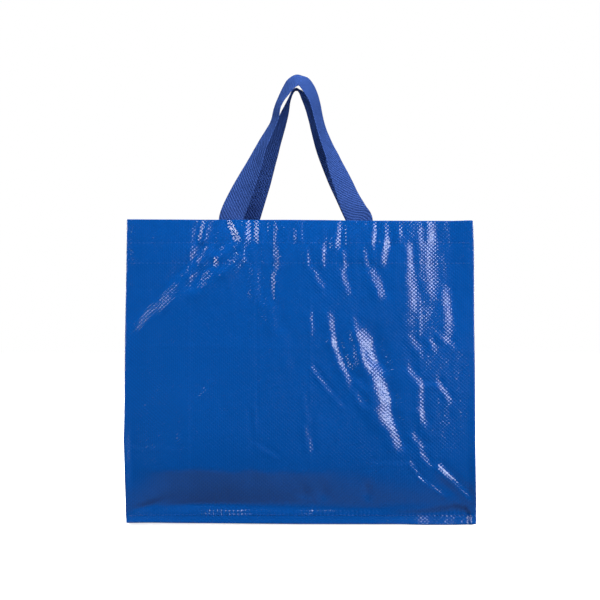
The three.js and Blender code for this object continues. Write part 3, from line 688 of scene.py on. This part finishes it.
def strap_frame(loop, ends, side, count):
    line, length = catmull(strap_rows(loop, ends, side), count)
    c, w = line[:, :3], line[:, 3:]
    t = np.gradient(c, axis=0)
    t /= np.linalg.norm(t, axis=1)[:, None]
    w = w - (w * t).sum(1)[:, None] * t
    w /= np.linalg.norm(w, axis=1)[:, None]
    n = np.cross(t, w)
    n /= np.linalg.norm(n, axis=1)[:, None]
    return c, t, w, n, length


def make_strap(name, loop, ends, side, seed):
    count = 330
    c, t, w, n, length = strap_frame(loop, ends, side, count)
    s = np.linspace(0, length, count)
    top_at = s[int(np.argmax(c[:, 2]))]
    outer = 1.0 if n[int(np.argmax(c[:, 2])), 2] > 0 else -1.0
    free = smooth(58, 90, s) * (1 - smooth(length - 90, length - 58, s))
    half_w, half_t = STRAP_W / 2, STRAP_T / 2
    across = np.array([-1, -0.975, -0.9, -0.75, -0.5, -0.25, 0, 0.25, 0.5, 0.75, 0.9, 0.975, 1])
    thick = np.array([0.35, 0.78, 1, 1, 1, 1, 1, 1, 1, 1, 1, 0.78, 0.35])
    ring = [(a, h) for a, h in zip(across, thick)] + [(a, -h) for a, h in zip(across[::-1], thick[::-1])]
    verts, uv = [], []
    for i in range(count):
        cup = 0.7 * noise(s[i] / 60 + seed, 0.5, seed) * free[i]
        wobble = 0.6 * noise(s[i] / 38, seed + 0.5, seed + 1) * free[i]
        for a, h in ring:
            ripple = 0.28 * noise(s[i] / 11, a * 1.4 + seed, seed + 2) * free[i]
            # the hand's crease across the top of the loop
            crease = -0.9 * math.exp(-(((s[i] - top_at - 1.2 - 1.6 * a) / 2.2) ** 2)) 
            lift = h * half_t + cup * (a * a - 0.4) + wobble * a + ripple + outer * crease
            p = c[i] + w[i] * (a * half_w) + n[i] * lift
            verts.append(p)
            uv.append((a * half_w, s[i]))
    k = len(ring)
    faces = []
    for i in range(count - 1):
        for j in range(k):
            b = (j + 1) % k
            faces.append((i * k + j, i * k + b, (i + 1) * k + b, (i + 1) * k + j))
    faces.append(tuple(range(k))[::-1])
    last = (count - 1) * k
    faces.append(tuple(last + j for j in range(k)))
    return new_object(name, np.array(verts), faces, np.array(uv)), length


# ---------------------------------------------------------------- sewing thread
class Thread:
    def __init__(self):
        self.verts, self.faces = [], []

    def stitch(self, a, b, normal, radius=0.24, rise=0.22):
        """One stitch lying on the sheet from a to b, its ends going down into it."""
        a, b, normal = (np.asarray(v, float) for v in (a, b, normal))
        d = b - a
        size = np.linalg.norm(d)
        if size < 1e-6:
            return
        d /= size
        normal = normal - normal.dot(d) * d
        normal /= np.linalg.norm(normal) or 1
        side = np.cross(d, normal)
        first = len(self.verts)
        rings = ((0.0, -0.45, 0.75), (0.12, 0.3, 1.0), (0.5, 1.0, 1.1), (0.88, 0.3, 1.0), (1.0, -0.45, 0.75))
        sides = 5
        for k, up, fat in rings:
            centre = a + d * size * k + normal * rise * up
            for j in range(sides):
                q = 2 * math.pi * j / sides
                self.verts.append(centre + (side * math.cos(q) + normal * math.sin(q)) * radius * fat)
        for i in range(len(rings) - 1):
            for j in range(sides):
                b2 = (j + 1) % sides
                self.faces.append((first + i * sides + j, first + i * sides + b2,
                                   first + (i + 1) * sides + b2, first + (i + 1) * sides + j))
        self.faces.append(tuple(first + j for j in range(sides))[::-1])
        end = first + (len(rings) - 1) * sides
        self.faces.append(tuple(end + j for j in range(sides)))

    def row(self, points, normals, fill=0.78, **more):
        points, normals = np.asarray(points), np.asarray(normals)
        for i in range(len(points) - 1):
            gap = (points[i + 1] - points[i]) * (1 - fill) / 2
            self.stitch(points[i] + gap, points[i + 1] - gap, normals[i], **more)


def sew(thread):
    # rows along the hems, outside and inside; the needle holes are between the puckers
    xs = np.arange(ROLL - HALF_W + 0.5 * STITCH, HALF_W - ROLL, STITCH)
    for side in (-1, 1):
        for row in (HEM_ROW_1, HEM_ROW_2):
            z = np.full_like(xs, row) + 0.25 * noise(xs / 60, np.full_like(xs, row + side), 71)
            out = np.stack([xs, sheet_y(xs, z, side), z], 1)
            normal = np.tile([0, side, 0.12], (len(xs), 1))
            thread.row(out, normal)
            inner = np.stack([xs * 0.9925, sheet_y(xs, z, side, HEM_GAP + 0.35), z], 1)
            thread.row(inner, -normal)
        # row along the bottom ridge, outside and inside
        seam = sheet_y(xs, np.full_like(xs, SEAM_Z + 1.2), side)
        z = np.full_like(xs, SEAM_Z - 1.0)
        normal = np.tile([0, side, 0.0], (len(xs), 1))
        thread.row(np.stack([xs, seam + side * 0.05, z], 1), normal, rise=0.32)
        thread.row(np.stack([xs, seam - side * 1.15, z], 1), -normal)
    # box and cross on each webbing end, seen inside and faintly outside
    for ends, loop, side in ((FRONT_ENDS, FRONT_LOOP, -1), (BACK_ENDS, BACK_LOOP, 1)):
        for centre in ends:
            z0, z1, half = STRAP_LOW + 4, STRAP_LOW + 38, 11.5
            corners = [(-half, z0), (half, z0), (half, z1), (-half, z1), (-half, z0), (half, z1), (half, z0), (-half, z1)]
            path = []
            for (xa, za), (xb, zb) in zip(corners, corners[1:]):
                steps = max(2, int(round(math.hypot(xb - xa, zb - za) / 3.4)))
                for k in range(steps):
                    path.append((centre + xa + (xb - xa) * k / steps, za + (zb - za) * k / steps))
            path.append((centre + corners[-1][0], corners[-1][1]))
            path = np.array(path)
            x, z = path[:, 0], path[:, 1]
            normal = np.tile([0, -side, 0.0], (len(x), 1))
            mean = sheet_y(np.full_like(z, centre), z, side, STRAP_IN + 1.2 + STRAP_T / 2)
            thread.row(np.stack([x, mean, z], 1), normal, radius=0.36, rise=0.4)


# ---------------------------------------------------------------- materials
class Nodes:
    def __init__(self, name):
        self.mat = bpy.data.materials.new(name)
        self.mat.use_nodes = True
        self.tree = self.mat.node_tree
        self.bsdf = next(n for n in self.tree.nodes if n.type == "BSDF_PRINCIPLED")

    def put(self, kind, **props):
        n = self.tree.nodes.new(kind)
        for k, v in props.items():
            setattr(n, k, v)
        return n

    def link(self, value, socket):
        if isinstance(value, bpy.types.NodeSocket):
            self.tree.links.new(value, socket)
        else:
            socket.default_value = value

    def math(self, op, *values, clamp=False):
        n = self.put("ShaderNodeMath", operation=op, use_clamp=clamp)
        for v, s in zip(values, n.inputs):
            self.link(v, s)
        return n.outputs[0]

    def noise(self, vector, scale, detail=2.0, rough=0.5, dims="3D"):
        n = self.put("ShaderNodeTexNoise", noise_dimensions=dims)
        self.link(vector, n.inputs["Vector"])
        n.inputs["Scale"].default_value = scale
        n.inputs["Detail"].default_value = detail
        n.inputs["Roughness"].default_value = rough
        return n.outputs[0]

    def mix(self, share, a, b):
        n = self.put("ShaderNodeMix", data_type="RGBA")
        self.link(share, n.inputs[0])
        self.link(a, n.inputs[6])
        self.link(b, n.inputs[7])
        return n.outputs[2]

    def uv(self):
        n = self.put("ShaderNodeUVMap", uv_map="UVMap")
        split = self.put("ShaderNodeSeparateXYZ")
        self.tree.links.new(n.outputs[0], split.inputs[0])
        return n.outputs[0], split.outputs[0], split.outputs[1]

    def bump(self, height, distance=1.0, strength=1.0):
        n = self.put("ShaderNodeBump")
        n.inputs["Strength"].default_value = strength
        n.inputs["Distance"].default_value = distance
        self.link(height, n.inputs["Height"])
        self.tree.links.new(n.outputs[0], self.bsdf.inputs["Normal"])


def laminate():
    """Flat tape in plain weave under a clear glossy film."""
    g = Nodes("laminated_weave")
    vec, u, v = g.uv()
    # the tapes wander a little
    drift = g.math("MULTIPLY", g.math("SUBTRACT", g.noise(vec, 30.0, 1.0), 0.5), 0.0011)
    a = g.math("MULTIPLY", g.math("ADD", u, drift), math.pi / 0.00246)
    b = g.math("MULTIPLY", g.math("ADD", v, drift), math.pi / 0.00226)
    sa, sb, ca, cb = g.math("SINE", a), g.math("SINE", b), g.math("COSINE", a), g.math("COSINE", b)
    cell = g.math("MULTIPLY", sa, sb)  # tape over tape, turn and turn about
    rib = g.math("COSINE", g.math("MULTIPLY", a, 2.0))
    uneven = g.math("MULTIPLY_ADD", g.noise(vec, 170.0, 3.0, 0.6), 1.9, 0.05)
    film = g.noise(vec, 300.0, 1.0, 0.5)
    relief = g.math("SUBTRACT", g.math("MULTIPLY", cell, 0.000092), g.math("MULTIPLY", rib, 0.000008))
    g.bump(g.math("ADD", g.math("MULTIPLY", relief, uneven), g.math("MULTIPLY", film, 0.00009)))
    # colour: slow drift in the dye; painted shade that darkens the gaps between the tapes; and painted light and shade
    # at the weave scale, set against the bump's shading under the top light so that it evens out
    slow = g.noise(vec, 9.0, 3.0, 0.55)
    colour = g.mix(g.math("MULTIPLY_ADD", slow, 1.6, -0.3, clamp=True), (0.0010, 0.072, 0.340, 1), (0.0018, 0.082, 0.385, 1))
    # painted shade: the colour is darkened in the gaps between the tapes, where shade falls
    gap = g.math("SUBTRACT", 1.0, g.math("POWER", g.math("ABSOLUTE", sa), 0.4), clamp=True)
    colour = g.mix(g.math("MULTIPLY", gap, 0.5), colour, (0.0009, 0.042, 0.205, 1))
    face = g.put("ShaderNodeSeparateXYZ")
    g.link(g.put("ShaderNodeNewGeometry").outputs["True Normal"], face.inputs[0])
    # painted light and shade: the colour is lightened or darkened cell by cell against the bump's shading under the top
    # light
    rise = g.math("MULTIPLY", g.math("MULTIPLY", sa, cb), g.math("MULTIPLY", g.math("SIGN", face.outputs[1]), -0.12))
    rise = g.math("ADD", rise, g.math("MULTIPLY", g.math("MULTIPLY", ca, sb), -0.045))
    shade = g.put("ShaderNodeVectorMath", operation="SCALE")
    g.link(colour, shade.inputs[0])
    g.link(g.math("ADD", rise, 1.0), shade.inputs["Scale"])
    g.link(shade.outputs[0], g.bsdf.inputs["Base Color"])
    rough = g.math("ADD", g.math("MULTIPLY", g.noise(vec, 24.0, 4.0, 0.6), 0.06), 0.08)
    g.link(rough, g.bsdf.inputs["Roughness"])
    g.bsdf.inputs["IOR"].default_value = 1.5
    g.bsdf.inputs["Specular IOR Level"].default_value = 0.5
    return g.mat


def webbing():
    """Ribbed twill webbing: slanting floats, broken up by the upright yarns."""
    g = Nodes("twill_webbing")
    vec, u, v = g.uv()
    wander = g.math("MULTIPLY", g.math("SUBTRACT", g.noise(vec, 90.0, 2.0), 0.5), 0.0006)
    slant = g.math("MULTIPLY", g.math("ADD", g.math("ADD", v, wander), g.math("MULTIPLY", u, -0.9)), 2 * math.pi / 0.0041)
    twill = g.math("MULTIPLY_ADD", g.math("SINE", slant), 0.5, 0.5)
    ends = g.math("MULTIPLY_ADD", g.math("SINE", g.math("MULTIPLY", u, 2 * math.pi / 0.00125)), 0.5, 0.5)
    fuzz = g.noise(vec, 900.0, 3.0, 0.6)
    weave = g.math("ADD", g.math("MULTIPLY", twill, 0.62), g.math("MULTIPLY", ends, 0.38))
    height = g.math("ADD", g.math("MULTIPLY", weave, 0.00034), g.math("MULTIPLY", fuzz, 0.00012))
    g.bump(height)
    shade = g.math("MULTIPLY_ADD", g.noise(vec, 60.0, 3.0), 0.9, 0.05, clamp=True)
    colour = g.mix(shade, (0.036, 0.087, 0.312, 1), (0.055, 0.115, 0.385, 1))
    # painted shade: the colour darkens towards the low parts of the twill, where shade falls
    colour = g.mix(g.math("MULTIPLY_ADD", weave, -0.95, 0.95), colour, (0.006, 0.018, 0.090, 1))
    g.link(colour, g.bsdf.inputs["Base Color"])
    rough = g.math("MULTIPLY_ADD", fuzz, 0.25, 0.45)
    g.link(rough, g.bsdf.inputs["Roughness"])
    g.bsdf.inputs["Specular IOR Level"].default_value = 0.0
    g.bsdf.inputs["Sheen Weight"].default_value = 0.01
    g.bsdf.inputs["Sheen Roughness"].default_value = 0.5
    g.bsdf.inputs["Sheen Tint"].default_value = (0.45, 0.55, 0.85, 1)
    return g.mat


def thread_material():
    g = Nodes("sewing_thread")
    where = g.put("ShaderNodeTexCoord").outputs["Object"]
    twist = g.noise(where, 900.0, 2.0)
    colour = g.mix(twist, (0.003, 0.072, 0.33, 1), (0.008, 0.100, 0.42, 1))
    g.link(colour, g.bsdf.inputs["Base Color"])
    g.link(g.math("MULTIPLY_ADD", twist, 0.2, 0.35), g.bsdf.inputs["Roughness"])
    g.bump(g.math("MULTIPLY", twist, 0.00008))
    return g.mat


# ---------------------------------------------------------------- build the bag
MAT_SHEET, MAT_STRAP, MAT_THREAD = laminate(), webbing(), thread_material()

panel, strip_length = make_panel()
left = make_gusset(-1, 81)
right = make_gusset(1, 91)
strap_f, length_f = make_strap("front_strap", FRONT_LOOP, FRONT_ENDS, -1, 3)
strap_b, length_b = make_strap("back_strap", BACK_LOOP, BACK_ENDS, 1, 5)
thread = Thread()
sew(thread)
stitches = new_object("stitching", sides(thread.verts), thread.faces)

for piece, mat, slot in (
    (panel, MAT_SHEET, "laminate"), (left, MAT_SHEET, "laminate"), (right, MAT_SHEET, "laminate"),
    (strap_f, MAT_STRAP, "webbing"), (strap_b, MAT_STRAP, "webbing"), (stitches, MAT_THREAD, "webbing"),
):
    piece.data.materials.append(mat)
    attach(piece, "root")
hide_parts("main_panel")
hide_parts("left_gusset")
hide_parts("right_gusset")
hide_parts("front_handle")
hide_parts("back_handle")

# ---------------------------------------------------------------- stage: floor, light, camera
scene = bpy.context.scene
scene.view_settings.view_transform = "Standard"
scene.view_settings.look = "None"
scene.view_settings.exposure = 0.0
scene.view_settings.gamma = 1.0

n = 96
ring = [(9000 * math.cos(2 * math.pi * k / n), 9000 * math.sin(2 * math.pi * k / n), -0.4) for k in range(n)]
floor = new_object("floor", np.array(ring), [tuple(range(n))], smooth_shade=False)
g = Nodes("floor_white")
g.bsdf.inputs["Base Color"].default_value = (0.8, 0.8, 0.8, 1)
g.bsdf.inputs["Roughness"].default_value = 0.9
g.bsdf.inputs["Specular IOR Level"].default_value = 0.0
g.bsdf.inputs["Emission Color"].default_value = (1, 1, 1, 1)
where = g.put("ShaderNodeTexCoord").outputs["Object"]
far = g.put("ShaderNodeVectorMath", operation="LENGTH")
g.link(where, far.inputs[0])
g.link(g.math("MULTIPLY_ADD", g.math("SMOOTH_MIN", far.outputs["Value"], 3.0, 1.0), 0.075, 0.80), g.bsdf.inputs["Emission Strength"])
floor.data.materials.append(g.mat)
floor.visible_diffuse = False
floor.visible_glossy = False

world = bpy.data.worlds.new("studio")
scene.world = world
world.use_nodes = True
wt = world.node_tree
wt.nodes.clear()
out = wt.nodes.new("ShaderNodeOutputWorld")
seen = wt.nodes.new("ShaderNodeBackground")
seen.inputs["Color"].default_value = (1, 1, 1, 1)
seen.inputs["Strength"].default_value = 1.0
room = wt.nodes.new("ShaderNodeBackground")
room.inputs["Strength"].default_value = 1.0
where = wt.nodes.new("ShaderNodeTexCoord")
split = wt.nodes.new("ShaderNodeSeparateXYZ")
wt.links.new(where.outputs["Generated"], split.inputs[0])
ramp = wt.nodes.new("ShaderNodeValToRGB")
shift = wt.nodes.new("ShaderNodeMath")
shift.operation = "MULTIPLY_ADD"
shift.inputs[1].default_value = 0.5
shift.inputs[2].default_value = 0.5
wt.links.new(split.outputs[2], shift.inputs[0])
wt.links.new(shift.outputs[0], ramp.inputs[0])
ramp.color_ramp.elements[0].position = 0.285
ramp.color_ramp.elements[0].color = (0.26, 0.26, 0.27, 1)
ramp.color_ramp.elements[1].position = 0.345
ramp.color_ramp.elements[1].color = (0.012, 0.012, 0.013, 1)
wt.links.new(ramp.outputs[0], room.inputs["Color"])
path = wt.nodes.new("ShaderNodeLightPath")
join = wt.nodes.new("ShaderNodeMixShader")
wt.links.new(path.outputs["Is Camera Ray"], join.inputs[0])
wt.links.new(room.outputs[0], join.inputs[1])
wt.links.new(seen.outputs[0], join.inputs[2])
wt.links.new(join.outputs[0], out.inputs[0])


def lamp(name, azimuth, elevation, distance, size, power, shine=True, fill=True, aim=(0, 0, 230), colour=(1, 1, 1)):
    """An area lamp aimed at the bag: shine shows in the gloss, fill lights the colour."""
    data = bpy.data.lights.new(name, "AREA")
    data.shape = "RECTANGLE"
    data.size, data.size_y = size
    data.energy = power
    data.color = colour
    obj = bpy.data.objects.new(name, data)
    scene.collection.objects.link(obj)
    a, e = math.radians(azimuth), math.radians(elevation)
    at = np.array([math.sin(a) * math.cos(e), -math.cos(a) * math.cos(e), math.sin(e)]) * distance
    obj.location = [(aim[k] + at[k]) * MM for k in range(3)]
    obj.rotation_mode = "QUATERNION"
    obj.rotation_quaternion = Vector(-at).to_track_quat("-Z", "Y")
    obj.visible_camera = False
    obj.visible_glossy = shine
    obj.visible_diffuse = fill
    return obj


# broad light from above in front, with a little from straight ahead, and the same behind
lamp("top_front", 25, 48, 4000, (2.6, 1.5), 193, shine=False)
lamp("front_fill", 20, 8, 2600, (1.2, 1.2), 16, shine=False)
lamp("top_back", 205, 48, 4000, (2.6, 1.5), 190, shine=False)
lamp("back_fill", 200, 8, 2600, (1.2, 1.2), 12, shine=False)
lamp("overhead", 0, 89, 3400, (1.3, 1.3), 60, shine=False)  # reaches the inside
lamp("side_left", -118, 30, 2400, (0.9, 0.9), 9, shine=False)
lamp("side_right", 118, 30, 2400, (0.9, 0.9), 12, shine=False)
# narrow softboxes that the film mirrors where a fold turns towards them
lamp("box_left", -34, 12, 2600, (0.55, 1.3), 32, fill=False, colour=(1.0, 0.98, 0.97))
lamp("box_right", 32, 11, 2600, (0.6, 1.4), 37, fill=False, colour=(0.93, 0.93, 1.0))
lamp("box_back_left", 150, 12, 2600, (0.55, 1.3), 32, fill=False)
lamp("box_back_right", -151, 11, 2600, (0.6, 1.4), 36, fill=False)


def spot(name, place, aim, angle, power):
    """A soft beam that lights the colour of the handles only."""
    data = bpy.data.lights.new(name, "SPOT")
    data.energy = power
    data.spot_size, data.spot_blend = math.radians(angle), 0.8
    data.shadow_soft_size = 0.12
    obj = bpy.data.objects.new(name, data)
    scene.collection.objects.link(obj)
    obj.location = [v * MM for v in place]
    obj.rotation_mode = "QUATERNION"
    obj.rotation_quaternion = Vector([aim[k] - place[k] for k in range(3)]).to_track_quat("-Z", "Y")
    obj.visible_camera = False
    obj.visible_glossy = False


spot("handles_front", (560, -1400, 60), (0, 0, 494), 10.0, 58)
spot("handles_inner", (-620, -1300, 120), (0, 30, 500), 9.2, 36)
spot("handles_back", (-560, 1400, 60), (0, 0, 494), 10.0, 58)

cam_data = bpy.data.cameras.new("camera")
cam_data.sensor_width = 36.0
cam_data.lens = FOCAL_PX / 600.0 * 36.0
cam_data.clip_start, cam_data.clip_end = 0.05, 60.0
camera = bpy.data.objects.new("camera", cam_data)
scene.collection.objects.link(camera)
camera.location = (0.0, CAM_Y * MM, CAM_Z * MM)
camera.rotation_euler = (math.pi / 2, 0.0, 0.0)
scene.camera = camera
